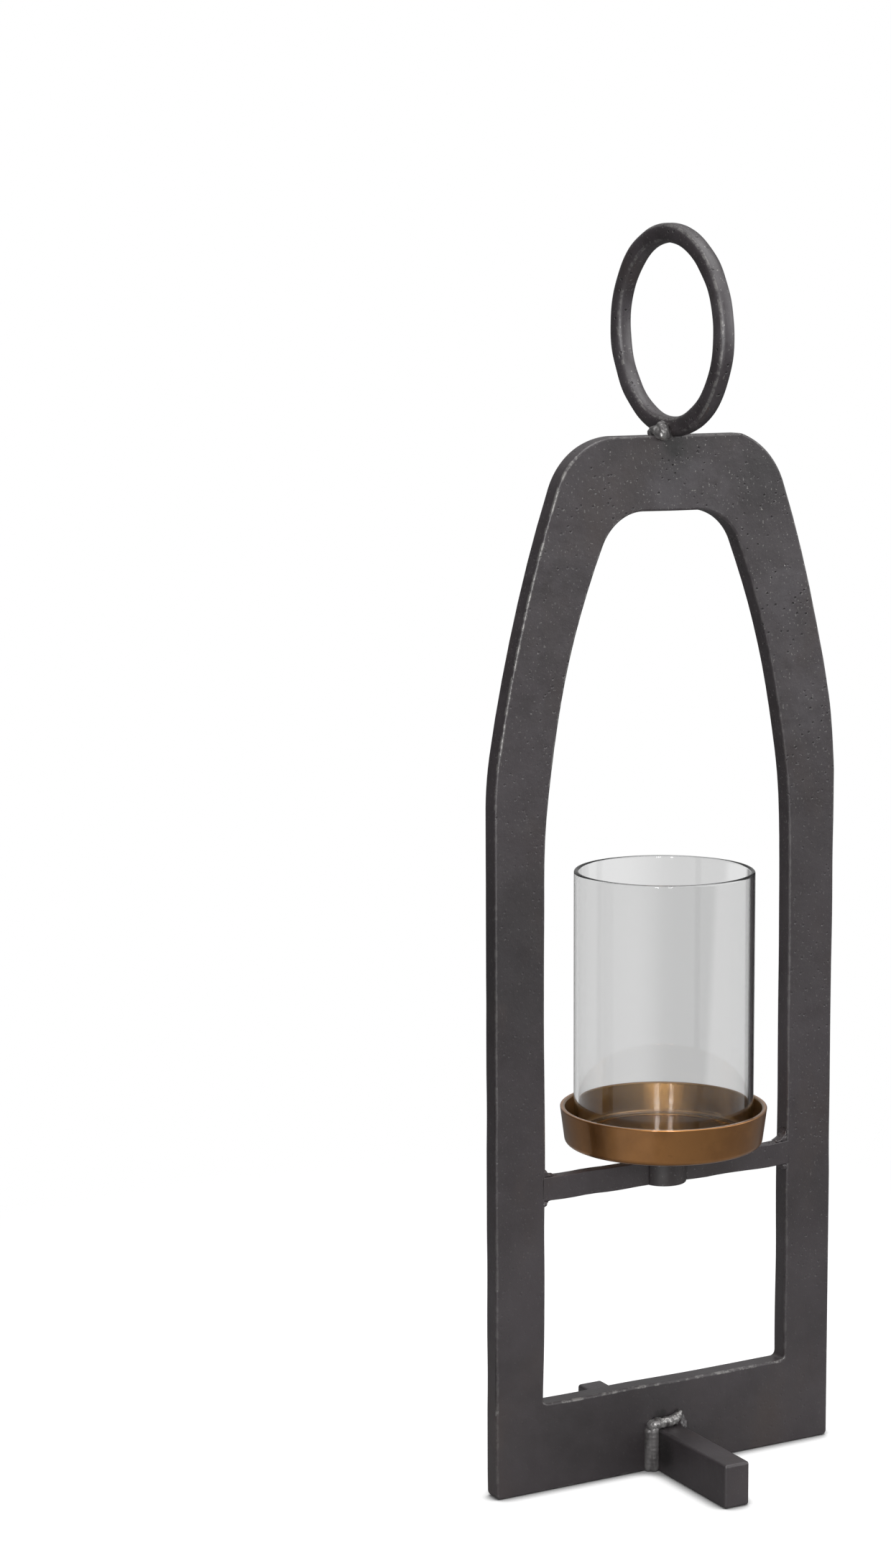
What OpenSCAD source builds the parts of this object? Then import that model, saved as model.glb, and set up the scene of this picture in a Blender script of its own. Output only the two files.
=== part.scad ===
// Arched iron candle lantern: a flat plate frame with a window, a hanging ring welded
// across its top, two feet, a crossbar that carries a flared dish, and a loose glass
// cylinder that stands in the dish.
// Millimetres. +Z is up, -Y is the front, X runs along the plate's width. The origin is
// the middle of the footprint, on the surface that the lantern stands on.

/* [Frame plate] */
// Width over the two legs
frame_w = 220; // [206:1:260]
// Height of the plate, without the ring
frame_h = 581; // [540:1:640]
// Thickness of the plate
plate_t = 10; // [6:0.5:14]
// Width of each leg
leg_w = 30; // [22:1:36]
// Height of the bottom rail under the window
rail_h = 50; // [34:1:60]
// Height of the band over the window
band_h = 41; // [32:1:52]
// Rounding of the plate's bottom corners and of the window's bottom corners
foot_corner_r = 3; // [2:0.5:10]

/* [Outer arch] */
// Radius of the bend where the legs start to lean in
shoulder_r = 207; // [120:1:300]
// Lean of the legs after that bend, in degrees
shoulder_lean = 9; // [6:0.5:12]
// Radius of the long curve above the bend
side_r = 800; // [600:10:900]
// Lean of the legs at the top corners, in degrees
top_lean = 19.5; // [16:0.5:21]
// Radius of the two top corners
crown_r = 41; // [30:1:48]

/* [Window arch] */
// Radius of the window's long side curve
window_side_r = 474; // [400:2:500]
// Lean of the window's sides at its top corners, in degrees
window_lean = 22.5; // [18:0.5:24]
// Radius of the window's top corners
window_crown_r = 29; // [18:1:34]

/* [Ring] */
// Outer diameter of the hanging ring
ring_d = 114; // [90:1:150]
// Diameter of the ring's round bar
ring_bar_d = 10.6; // [8:0.2:14]
// Depth of the flat dressed on the ring where it sits on the plate
ring_flat = 0.8; // [0.4:0.1:1.5]
// Radius of the weld beads beside the ring's foot
ring_bead_r = 4.6; // [3.6:0.2:5.4]
// Half of the angle that those beads cover, seen from the ring's centre
ring_bead_turn = 9; // [6:1:14]

/* [Feet] */
// Overall depth over the two feet
feet_depth = 160; // [120:1:220]
// Width of a foot
foot_w = 16; // [12:1:22]
// Height of a foot
foot_h = 25; // [16:1:28]
// Rounding of a foot's outer end and top edges
foot_edge_r = 1.5; // [0.5:0.25:3]
// Radius of the weld beads down a foot's sides
foot_bead_r = 4.5; // [3:0.25:6]
// Radius of the weld bead over a foot
foot_top_bead_r = 7; // [5:0.25:9]

/* [Crossbar] */
// Height of the crossbar's underside above the floor
bar_z = 165.5; // [120:0.5:230]
// Height of the crossbar's section
bar_h = 13.5; // [10:0.5:18]
// Depth of the crossbar's section
bar_t = 6.5; // [4:0.5:10]
// Diameter of the round boss in the middle of the crossbar
boss_d = 26; // [20:1:32]
// Height of the boss, from the crossbar's underside to the dish
boss_h = 22.5; // [19:0.5:30]
// Leg length of the weld fillets on top of the crossbar's ends
bar_fillet_top = 9; // [6:0.5:12]
// Leg length of the weld fillets under the crossbar's ends
bar_fillet_under = 5; // [3:0.5:7]

/* [Dish] */
// Outer height of the dish
dish_h = 21; // [15:0.5:30]
// Thickness of the dish's side wall
dish_wall = 2.8; // [2:0.2:4]
// How much wider the dish is at its rim than at its foot, on each side
dish_flare = 2.3; // [1:0.1:5]
// Thickness of the dish's floor under the glass
dish_floor = 5; // [4:0.25:7]
// Radius of the fillet between floor and wall, inside
dish_fillet_r = 2; // [1:0.25:3]
// Radius of the dish's bottom corner, outside
dish_corner_r = 3; // [1.5:0.25:4]
// Width of the flat ledge that the glass stands on
ledge_w = 6; // [4.5:0.25:9]
// Depth of the candle seat below that ledge
seat_drop = 1; // [0.5:0.1:1.5]

/* [Glass] */
// Outer diameter of the glass cylinder
glass_d = 100; // [84:1:110]
// Height of the glass cylinder
glass_h = 149; // [110:1:170]
// Thickness of the glass
glass_wall = 2.5; // [2:0.25:3.5]

/* [Screw] */
// Thread diameter of the countersunk screw
screw_d = 6; // [5:0.5:8]
// Length of the screw under its head
screw_len = 12; // [8:1:16]

/* [Fits] */
// Gap between the glass and the fillet in the dish
glass_gap = 0.5; // [0.4:0.1:1.5]
// Gap round the screw in its holes
screw_gap = 0.15; // [0.1:0.05:0.3]
// Room left in the boss below the end of the screw
screw_end_gap = 2; // [1:0.25:3]

/* [Hidden] */

$fn = 96;
iron = "#3f3b3a";
weld_grey = "#5b5856";
bronze = "#7a5230";
clear_glass = [0.85, 0.88, 0.88, 0.35];
screw_steel = "#8a8078";

// How far a cut runs past the face it opens, so that no skin is left
over = 1;

// Frame plate
half_w = frame_w / 2;
window_half = half_w - leg_w;
window_top = frame_h - band_h;
plate_front = -plate_t / 2;
outer_radii = [shoulder_r, side_r, crown_r];
outer_leans = [0, shoulder_lean, top_lean, 90];
window_radii = [window_side_r, window_crown_r];
window_leans = [0, window_lean, 90];
// Longest step along an arc, and its largest turn in degrees
step_len = 1.5;
step_turn = 1.5;

// Ring, across the plate
ring_bar_r = ring_bar_d / 2;
ring_mid_r = ring_d / 2 - ring_bar_r;
ring_z = frame_h - ring_flat + ring_d / 2;

// Feet
foot_len = feet_depth / 2 - plate_t / 2;

// Crossbar and boss
bar_top = bar_z + bar_h;
boss_r = boss_d / 2;
boss_top = bar_z + boss_h;

// Dish, from the glass outwards
glass_r = glass_d / 2;
dish_base = boss_top;
ledge_z = dish_base + dish_floor;
rim_z = dish_base + dish_h;
seat_z = ledge_z - seat_drop;
floor_r = glass_r + glass_gap + dish_fillet_r;
foot_r = floor_r + dish_wall;
rim_in_r = floor_r + dish_flare * (dish_h - dish_floor) / dish_h;
rim_out_r = foot_r + dish_flare;
seat_r = glass_r + glass_gap - ledge_w;
rim_r = (rim_out_r - rim_in_r) / 2;

// Screw
screw_r = screw_d / 2;
head_r = screw_d;
head_h = head_r - screw_r;
slot_w = screw_d / 5;
slot_depth = head_h / 3;
head_z = seat_z - head_h;
screw_end_z = head_z - screw_len;
screw_hole_z = screw_end_z - screw_end_gap;

// Points of one arc of radius r round [cx, cz], from angle a0 to angle a1
function arc(cx, cz, r, a0, a1) =
    let (turn = abs(a1 - a0), n = max(3, ceil(min(turn / step_turn, turn * PI / 180 * r / step_len))))
    [for (i = [0:n]) let (a = a0 + (a1 - a0) * i / n) [cx + r * cos(a), cz + r * sin(a)]];

// Rise and run of a chain of tangent arcs, counted from its first arc up to arc i
function rise(radii, leans, i) =
    i == 0 ? 0 : rise(radii, leans, i - 1) + radii[i - 1] * (sin(leans[i]) - sin(leans[i - 1]));
function run(radii, leans, i) =
    i == 0 ? 0 : run(radii, leans, i - 1) + radii[i - 1] * (cos(leans[i - 1]) - cos(leans[i]));

// Right side of an arch, from where it stops being upright to its flat top
function arch_side(half, top, radii, leans) =
    let (last = len(radii), z0 = top - rise(radii, leans, last))
    [for (i = [0:last - 1])
        let (r = radii[i], x = half - run(radii, leans, i), z = z0 + rise(radii, leans, i))
        each arc(x - r * cos(leans[i]), z - r * sin(leans[i]), r, leans[i], leans[i + 1])];

function mirrored(points) = [for (i = [len(points) - 1:-1:0]) [-points[i][0], points[i][1]]];

// Outline of an arch that stands on the height base
module arch_outline(half, base, top, radii, leans) {
    corner = arc(half - foot_corner_r, base + foot_corner_r, foot_corner_r, -90, 0);
    right = concat(corner, arch_side(half, top, radii, leans));
    polygon(concat(right, mirrored(right)));
}

// Stands an outline in the XZ plane up, between the depths y0 and y1
module upright(y0, y1) {
    translate([0, y1, 0])
        rotate([90, 0, 0])
            linear_extrude(y1 - y0) children();
}

module plate_block() {
    translate([-half_w, plate_front, 0]) cube([frame_w, plate_t, frame_h]);
}

module arch_frame() {
    color(iron)
        upright(plate_front, -plate_front)
            difference() {
                arch_outline(half_w, 0, frame_h, outer_radii, outer_leans);
                arch_outline(window_half, rail_h, window_top, window_radii, window_leans);
            }
}

// The ring stands across the plate, in the YZ plane
module ring_bar() {
    translate([0, 0, ring_z])
        rotate([0, 90, 0])
            rotate_extrude()
                translate([ring_mid_r, 0]) circle(ring_bar_r, $fn = 48);
}

module hanging_ring() {
    color(iron)
        difference() {
            ring_bar();
            plate_block();
        }
}

// Run of weld that follows one side of the ring's foot; side is -1 for left, 1 for right
module ring_weld(side) {
    color(weld_grey)
        difference() {
            translate([0, 0, ring_z])
                rotate([0, 90, 0])
                    rotate([0, 0, -ring_bead_turn])
                        rotate_extrude(angle = 2 * ring_bead_turn)
                            difference() {
                                translate([ring_d / 2 - ring_bead_r / 2, side * ring_bar_r])
                                    circle(ring_bead_r, $fn = 48);
                                translate([ring_mid_r, 0]) circle(ring_bar_r, $fn = 48);
                                translate([ring_mid_r, side > 0 ? -ring_bar_d : 0])
                                    square([ring_bar_d, ring_bar_d]);
                            }
            plate_block();
        }
}

module ring_weld_left() { ring_weld(-1); }
module ring_weld_right() { ring_weld(1); }

// A square bar foot with its outer end and its upper edges eased
module foot(side) {
    r = foot_edge_r;
    color(iron)
        scale([1, side, 1])
            translate([0, plate_t / 2, 0])
                intersection() {
                    rotate([-90, 0, 0])
                        linear_extrude(foot_len)
                            mirror([0, 1])
                                polygon(concat(
                                    [[-foot_w / 2, 0], [foot_w / 2, 0]],
                                    arc(foot_w / 2 - r, foot_h - r, r, 0, 90),
                                    arc(r - foot_w / 2, foot_h - r, r, 90, 180)));
                    rotate([90, 0, 90])
                        linear_extrude(foot_w, center = true)
                            polygon(concat(
                                [[0, 0]],
                                arc(foot_len - r, r, r, -90, 0),
                                arc(foot_len - r, foot_h - r, r, 0, 90),
                                [[0, foot_h]]));
                }
}

module foot_front() { foot(-1); }
module foot_rear() { foot(1); }

// Beads down both sides of a foot and over its top, laid against the plate
module foot_weld(side) {
    steps = 4;
    rise_step = (foot_h - foot_bead_r) / steps;
    color(weld_grey)
        scale([1, side, 1])
            difference() {
                union() {
                    for (x = [-foot_w / 2, foot_w / 2], i = [0:steps])
                        translate([x, plate_t / 2, foot_bead_r + i * rise_step])
                            sphere(foot_bead_r, $fn = 48);
                    for (i = [-1:1])
                        translate([i * foot_w / 3, plate_t / 2, foot_h])
                            sphere(foot_top_bead_r - abs(i), $fn = 48);
                }
                translate([-foot_w / 2, plate_t / 2, -over]) cube([foot_w, foot_len, foot_h + over]);
                translate([-foot_w, plate_t / 2 - foot_h, -over]) cube([2 * foot_w, foot_h, 2 * foot_h]);
            }
}

module foot_weld_front() { foot_weld(-1); }
module foot_weld_rear() { foot_weld(1); }

// Half of the crossbar, flush with the plate's front face and coped to the boss
module crossbar(side) {
    color(iron)
        scale([side, 1, 1])
            difference() {
                translate([0, plate_front, bar_z]) cube([window_half, bar_t, bar_h]);
                translate([0, 0, bar_z - over]) cylinder(h = bar_h + 2 * over, r = boss_r);
            }
}

module crossbar_left() { crossbar(-1); }
module crossbar_right() { crossbar(1); }

// Hollow weld fillet between a crossbar end and a leg; up is 1 on top and -1 underneath
module bar_weld(side, up, leg) {
    foot_z = up > 0 ? bar_top : bar_z;
    color(weld_grey)
        translate([side * window_half, 0, foot_z])
            scale([-side, 1, up])
                upright(plate_front, plate_front + bar_t)
                    difference() {
                        square(leg);
                        translate([leg, leg]) circle(leg);
                    }
}

module bar_weld_left_top() { bar_weld(-1, 1, bar_fillet_top); }
module bar_weld_left_under() { bar_weld(-1, -1, bar_fillet_under); }
module bar_weld_right_top() { bar_weld(1, 1, bar_fillet_top); }
module bar_weld_right_under() { bar_weld(1, -1, bar_fillet_under); }

module tray_boss() {
    color(iron)
        difference() {
            translate([0, 0, bar_z]) cylinder(h = boss_h, r = boss_r);
            translate([0, 0, screw_hole_z])
                cylinder(h = boss_top - screw_hole_z + over, r = screw_r + screw_gap);
        }
}

// Half section of the flared dish: foot, outer wall, rounded rim, inner wall, ledge, seat
module dish_section() {
    rim_mid = (rim_in_r + rim_out_r) / 2;
    polygon(concat(
        [[0, dish_base]],
        arc(foot_r - dish_corner_r, dish_base + dish_corner_r, dish_corner_r, -90, 0),
        arc(rim_mid, rim_z - rim_r, rim_r, 0, 180),
        arc(floor_r - dish_fillet_r, ledge_z + dish_fillet_r, dish_fillet_r, 0, -90),
        [[seat_r, ledge_z], [seat_r, seat_z], [0, seat_z]]));
}

module candle_tray() {
    color(bronze)
        difference() {
            rotate_extrude($fn = 144) dish_section();
            translate([0, 0, dish_base - over])
                cylinder(h = dish_floor + 2 * over, r = screw_r + screw_gap);
            screw_head();
        }
}

// Countersunk head, level with the candle seat
module screw_head() {
    translate([0, 0, head_z]) cylinder(h = head_h, r1 = screw_r, r2 = head_r);
}

// Countersunk screw through the middle of the dish into the boss
module tray_screw() {
    color(screw_steel)
        difference() {
            union() {
                screw_head();
                translate([0, 0, screw_end_z]) cylinder(h = screw_len, r = screw_r);
            }
            translate([-head_r, -slot_w / 2, seat_z - slot_depth])
                cube([2 * head_r, slot_w, slot_depth + over]);
        }
}

// Open glass tube with a fire-polished rim
module glass_cylinder() {
    lip_r = glass_wall / 2;
    color(clear_glass)
        translate([0, 0, ledge_z])
            rotate_extrude($fn = 144) {
                translate([glass_r - glass_wall, 0]) square([glass_wall, glass_h - lip_r]);
                translate([glass_r - lip_r, glass_h - lip_r]) circle(lip_r, $fn = 32);
            }
}

arch_frame();
hanging_ring();
ring_weld_left();
ring_weld_right();
foot_front();
foot_rear();
foot_weld_front();
foot_weld_rear();
crossbar_left();
crossbar_right();
bar_weld_left_top();
bar_weld_left_under();
bar_weld_right_top();
bar_weld_right_under();
tray_boss();
candle_tray();
tray_screw();
glass_cylinder();
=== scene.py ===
import math

import bmesh
import bpy
from mathutils import Matrix, Vector, noise


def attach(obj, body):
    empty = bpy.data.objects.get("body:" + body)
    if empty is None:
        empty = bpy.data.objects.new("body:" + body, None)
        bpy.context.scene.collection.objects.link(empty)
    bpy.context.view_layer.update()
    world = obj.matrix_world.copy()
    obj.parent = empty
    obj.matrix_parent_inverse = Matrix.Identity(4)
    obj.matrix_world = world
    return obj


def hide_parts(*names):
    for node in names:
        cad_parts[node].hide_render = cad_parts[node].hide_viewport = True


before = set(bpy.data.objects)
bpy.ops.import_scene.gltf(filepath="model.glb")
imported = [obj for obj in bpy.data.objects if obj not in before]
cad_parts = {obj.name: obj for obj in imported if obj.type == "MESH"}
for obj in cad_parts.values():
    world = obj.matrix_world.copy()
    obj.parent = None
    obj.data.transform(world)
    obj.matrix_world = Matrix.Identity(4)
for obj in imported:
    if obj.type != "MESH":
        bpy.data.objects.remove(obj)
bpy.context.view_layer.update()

# ---------------------------------------------------------------- sizes, metres
MM = 0.001
SAME_POINT = 0.001 * MM     # points closer than this are one
SAME_PLANE = 0.01 * MM      # how near a plane a point lies on it
HARD_CORNER = 30            # degrees between two faces from which their edge is eased
ARRIS_STEPS = 3
PLATE_ARRIS = 1.4 * MM      # eased edges of the plate
PLATE_BACK_GAIN = 1.4 * MM  # how much the forging swelled the plate at its back
LEFT_LEG_GAIN = 1.0 * MM    # how much wider the left leg came out, towards the window
RIGHT_BULGE = 2.0 * MM      # how far the right shoulder and crown swelled outwards
BULGE_STARTS = 395 * MM
BULGE_FULL = 430 * MM
PLATE_WAVE = 0.55 * MM      # how far the hammer left the outline off true
PLATE_WAVE_GRAIN = 46 * MM
PLATE_WAVE_ACROSS = Vector((3.1, 0, 0))  # where in the noise the outline's sideways waves are taken
PLATE_WAVE_UP = Vector((0, 0, 8.4))
PLATE_STEP = 7 * MM         # longest stretch of edge that stays straight
PLATE_SPLITS = 8            # at most so many rounds of halving its edges
HALF_WIDTH = 109.99 * MM
BAR_ARRIS = 0.8 * MM        # eased edges of the crossbar and boss
BAR_WAVE = 0.7 * MM         # how far the hammer left the crossbar off true
BAR_WAVE_GRAIN = 19 * MM    # along the bar
BAR_WAVE_HIGH = 30 * MM     # up the bar
BAR_CUTS = 9
FOOT_ARRIS = 1.8 * MM       # eased edges of the feet
FOOT_HALF = 8 * MM
FOOT_HIGH = 25 * MM
FOOT_END = 80 * MM
FRONT_FOOT_SHORT = 2.6 * MM  # how much the front foot was ground back
WINDOW_HALF = 80 * MM       # half of the window's width at the crossbar
PLATE_TOP = 581 * MM
RAIL_EDGE = 1.6 * MM        # how far the rubbed edge of the rail reaches up and down
RAIL_TOP = 50 * MM
WINDOW_MIDDLE = Vector((0, 0, 300 * MM))

RING_MIDDLE = 51.7 * MM     # radius of the ring's centre line
RING_BAR = 5.3 * MM         # half of the ring's bar, outwards
RING_DEEP = 5.1 * MM        # half of the ring's bar, across
RING_POWER = 2.7            # shape of the bar: 2 is round, more is squarer
RING_SIDES = 40
RING_STEPS = 160
RING_DENT = 0.4 * MM        # how deep the hammer went into the bar
RING_DENT_GRAIN = 16 * MM
RING_LEAN = 0.055           # how far the ring leans back for each step up
RING_CENTRE = Vector((1.2 * MM, -2 * MM, 637.2 * MM))
RING_TOP = 694.1 * MM
RIDGE_FROM = 0.6            # sideways part of the way a face looks, where the bar's ridge begins
RIDGE_TO = 0.86

WELD_GRAIN = 1.6 * MM
WELD_VOXEL = 0.42 * MM
WELD_MELTS = 4              # how often a bead's skin is smoothed
WELD_LUMP_SWELL = 0.03      # share by which the lumps of an upright run differ in radius
WELD_LUMP_BEAT = 2.4        # how quickly they swell and shrink along it, radians a lump
PLATE_FACE = 5              # millimetres from the plate's middle to its face

# Lumps that run together into beads: x, y, z and radius in millimetres.
# At the feet y is counted outwards from the plate's face; at the crossbar x is counted inwards from the leg.
FOOT_TOP_BEAD = ((-10, 1, 26.4, 3.5), (-7.2, 2, 27.6, 3.4), (-4.6, 2.8, 27.4, 3), (-2, 2.6, 27.8, 3.2),
                 (1, 2.6, 27.8, 3.1), (3.6, 2.4, 28.4, 3), (6, 1.8, 29.4, 2.6), (7.6, 1.2, 31, 2.1),
                 (-6, 0, 26, 2.6), (-3, 0, 26, 2.6), (0, 0, 26, 2.6), (3, 0, 26, 2.6), (6, 0, 26, 2.6))
FOOT_RIGHT_END = ((9, 3.6, 23.4, 2.2), (9.4, 0, 28, 2.4))
# Upright runs at the feet: x, y, lowest and highest z and radius in millimetres, and how many lumps
FOOT_LEFT_RUNS = ((-9.3, 1.3, 2.5, 24, 3.5, 24), (-12, 0.3, 2, 23, 2.6, 20))
FOOT_RIGHT_RUN = (9.4, 1.2, 2.5, 25, 3.2, 20)
BAR_TOP_BEAD = ((1.2, -2.2, 180, 2.6), (5.5, -1.8, 178.2, 2.2), (9, -2.2, 177.7, 1.7))
BAR_UNDER_BEAD = ((0.8, -3.4, 164, 2), (2.6, -2, 165.2, 1.8))
RING_LEFT_BEAD = ((-5.6, -5.4, 582.6, 4.8), (-8, -3.6, 583.4, 3.3), (-3.8, -6.6, 581, 2.8), (-6.6, -5.6, 586, 3),
                  (-5.5, 0, 582.6, 3.6), (-5.5, 3.6, 582.4, 3.6))
RING_RIGHT_BEAD = ((5.4, -3.6, 582.2, 2.8), (5.6, 0, 582.2, 3), (5.6, 3.8, 582.4, 3.4), (6.8, 0.6, 582, 2.2))

TURNED_STEPS = 192          # flats round the dish and the glass
AXIS_GAP = 0.2 * MM         # radius of the small flat in the middle of the dish
DISH_FLARE = 6              # degrees that the dish's wall leans outwards
DISH_LOW = 188 * MM
DISH_RIM = 209 * MM
DISH_LEDGE = 193 * MM
DISH_SEAT = 192 * MM
DISH_FOOT_R = 55.3 * MM
DISH_RIM_R = 57.6 * MM
DISH_WALL = 2.8 * MM
DISH_EDGE = 0.6 * MM        # rounding of the rim's outer edge
DISH_INNER_EDGE = 1.1 * MM
DISH_CORNER = 3.2 * MM
DISH_FILLET = 2.2 * MM
SEAT_R = 44.5 * MM
SEAT_LIP = 0.5 * MM

GLASS_R = 50 * MM
GLASS_WALL = 2.5 * MM
GLASS_LOW = 193 * MM
GLASS_HIGH = 342 * MM
GLASS_FOOT_EDGE = 0.4 * MM  # rounding of the glass's lower edges
DARK_RIM_DEPTH = 0.5 * MM      # depth of the lip that is tinted dark: painted shade on the glass's rim

# ---------------------------------------------------------------- colours, linear
IRON_DARK = (0.031, 0.0247, 0.0272)
IRON_LIGHT = (0.0565, 0.0472, 0.0525)
IRON_BROWN = (0.05, 0.0373, 0.0352)
# soot fills the pits, and also paints the smoke and scorch spots, some of which are painted shade
IRON_SOOT_AND_SHADE = (0.009, 0.0075, 0.0078)
# pale patches: partly wear, partly painted sheen
IRON_WEAR_AND_SHEEN = (0.082, 0.074, 0.082)
RUBBED_METAL = (0.32, 0.31, 0.3)
WELD_DARK = (0.04, 0.036, 0.036)
WELD_GREY = (0.17, 0.162, 0.162)
WELD_SILVER = (0.55, 0.54, 0.53)
BRONZE = (0.54, 0.245, 0.073)
BRONZE_DARK = (0.21, 0.085, 0.024)
# BRONZE_PALE, BRONZE_OLIVE and BRONZE_SHADE colour the dish's inside and seat: darker copies of the bronze, painted
# shade
BRONZE_PALE = (0.28, 0.15, 0.046)
BRONZE_OLIVE = (0.2, 0.098, 0.031)
BRONZE_SHADE = (0.1, 0.046, 0.018)
SCREW_STEEL = (0.33, 0.29, 0.25)

# Places painted paler in patches, partly handling wear and partly painted sheen on the plate's top, its right
# shoulder and the ring: x, y, z and radius in millimetres
WEAR_AND_SHEEN = ((12, -5, 548, 40), (86, -5, 496, 34), (90, -5, 440, 40), (0, -55, 640, 44), (0, 50, 610, 34),
        (0, 45, 665, 40))
# Places painted darker, x, y, z and radius in millimetres: weld smoke near the welds, and painted shade on the boss
# under the dish and on the plate under the ring's front
SMOKE_AND_SHADE = ((-18, -5, 26, 50), (-60, -5, 30, 30), (0, -14, 12, 26), (0, -14, 172, 26), (-96, -5, 300, 60),
          (2, -5, 571, 20), (62, -5, 556, 24))
# Places painted blackish by the welds: x, y, z and radius in millimetres. Partly scorch from the torch, partly
# painted shade in the creases above the foot beads and where the ring meets the plate
SCORCH_AND_SHADE = ((-6, -5, 31.5, 3.6), (-2.5, -5, 32.5, 3), (-8, -15, 13, 13), (-8, -9, 20, 8), (3, -5, 574, 8),
            (-1, -5, 576, 6), (5, -1, 584, 6), (-5, 5, 31.5, 5), (8, 14, 13, 12))
GLASS_TINT = (0.857, 0.858, 0.858)
# dark tint of the glass's rim: painted shade
RIM_SHADE_TINT = (0.3, 0.31, 0.31)

# ---------------------------------------------------------------- finishes
ARCH_FROM = 300 * MM        # height at which flecks and pits start to show more
ARCH_FULL = 520 * MM
BARE_LEFT = -60 * MM        # from here to the left flecks and pits show less
BARE_RIGHT = 10 * MM        # and from here to the right fully
QUIET = 0.35                # share of them low down, and on the rail
QUIET_LEFT = 0.55
BLOTCHED_FROM = 300 * MM    # height at which pale blotches start to show more
BLOTCHED_FULL = 500 * MM
SHOULDER_FROM = 360 * MM    # height at which the rubbed left shoulder starts
SHOULDER_FULL = 420 * MM
SHOULDER_NEAR = 20 * MM     # how far left of the middle it starts
SHOULDER_FAR = 45 * MM
PIT_CELL = 4.4 * MM         # about how far apart the pits are
PIT_SIZE = 0.2              # radius of a pit, as a share of that
PIT_LIP = 0.31
PIT_DEPTH = 0.5 * MM
GRAIN_DEPTH = 0.17 * MM
DENT_DEPTH = 0.35 * MM
WAVE_DEPTH = 1.5 * MM
# How many clouds, patches or grains of each kind there are to a metre
IRON_CLOUDS = 11
BROWN_CLOUDS = 23
BLOTCHES = 75
WEAR_AND_SHEEN_PATCHES = 48
SCORCH_AND_SHADE_PATCHES = 160
RUBBED_PATCHES = 170
DULL_PATCHES = 55
PITTED_AREAS = 21
IRON_WAVES = 26
IRON_DENTS = 130
IRON_GRAIN = 420
IRON_FLECKS = 760
WELD_RIPPLES = 300
WELD_SCALE = 140
WELD_BARE = 260
BRONZE_CLOUDS = 34
BRONZE_SPOTS = 240
BRONZE_SHEEN = 90
LATHE_RINGS = 60
SCREW_SCRATCHES = 600
GLASS_WAVES = 12

# ---------------------------------------------------------------- the room
FLOOR_HALF = 14
TABLE_FROM = 0.25                    # distance from the lantern at which the table starts to fade out
TABLE_TO = 0.7
TABLE_LEVEL = 0.5                    # how much of the light on the table the eye gets back
TABLE_GLOW = 0.75                    # the table's own white, which brings it level with the backdrop
TABLE_SHEEN = 0.3                    # the table as metal sees it
ROOM_FLOOR_LEVEL = 0.14              # the floor beyond the table, as metal sees it
LIT_WAY = (-0.899, -0.438, 0)        # the way to the part of the table that the soft light falls on
LIT_GAIN = 2.0                       # how much paler that part is
PAINTED_CONTACT_SHADOW_REACH = 11 * MM              # width of the painted contact shadow where iron meets the table
BACKDROP_LEVEL = 0.76
BACKDROP_EDGE = 1.17 * BACKDROP_LEVEL   # at both sides of the backdrop
BACKDROP_DULL = 0.97 * BACKDROP_LEVEL   # in between
DARK_WAY = (0.885, 0.465, 0)         # the way to the dark curtain at the backdrop's right
DARK_EDGE = 0.9285                   # cosine of the angle from there to the curtain's edges
DARK_SOFT = 0.0085                   # half the width over which the curtain's edges fade
REAR_LIGHT = 0.95                    # the backdrop as it lights the lantern's back
REAR_GLOSS = 0.4                     # the backdrop as metal mirrors it
BACKDROP_FADES = (0.848, -0.53, 0)   # across the backdrop, towards its duller side
CEILING = 0.42                       # height of a ray's direction where the dark ceiling starts
CEILING_FADE = 0.1                   # how far under that height it begins to darken
SOFTBOX_WAY = (0.82, -0.55, 0.16)    # the way to the large soft light at the front right
SOFTBOX_LEVEL = 2.0
CAMERA_SIDE_WAY = (0.9, -0.44, 0)    # the room's paler side, and the levels on its far side and its near side
CAMERA_SIDE_FROM = 0.14
CAMERA_SIDE_TO = 0.42
REAR_WAY = (0.536, 0.844, 0)
LEFT_WAY = (-0.87, 0.49, 0)
LEFT_LEVEL = 0.09
CEILING_LEVEL = 0.5
PAST_CEILING = 0.08                  # share of the backdrop's light left above its top, seen past the glass
# Name, middle, aim, width, height and power of each lamp
LAMPS = (("right_strip_lamp", (-1.05, -2.38, 0.95), (0, 0, 0.3), 0.3, 1.8, 21),
         ("left_strip_lamp", (-1.74, -1.93, 0.95), (0, 0, 0.3), 0.24, 1.8, 16.5),
         ("top_lamp", (0.2, -0.3, 2.6), (0, 0, 0), 2.4, 2.2, 32))

# ---------------------------------------------------------------- small tools


def smooth(mesh, angle=35):
    """Shades a mesh smooth, but for edges that turn by more than angle degrees."""
    mesh.shade_smooth()
    mesh.set_sharp_from_angle(angle=math.radians(angle))


def add_piece(name, bm, body, nodes, slot, *materials):
    """Turns a bmesh into a finished piece that stands for CAD nodes."""
    mesh = bpy.data.meshes.new(name)
    bm.to_mesh(mesh)
    bm.free()
    smooth(mesh)
    piece = bpy.data.objects.new(name, mesh)
    bpy.context.scene.collection.objects.link(piece)
    for material in materials:
        mesh.materials.append(material)
    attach(piece, body)
    if nodes:
        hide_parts(*nodes)
    flat = piece.modifiers.new("flat_faces_stay_flat", "WEIGHTED_NORMAL")
    flat.keep_sharp = True
    return piece


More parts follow.
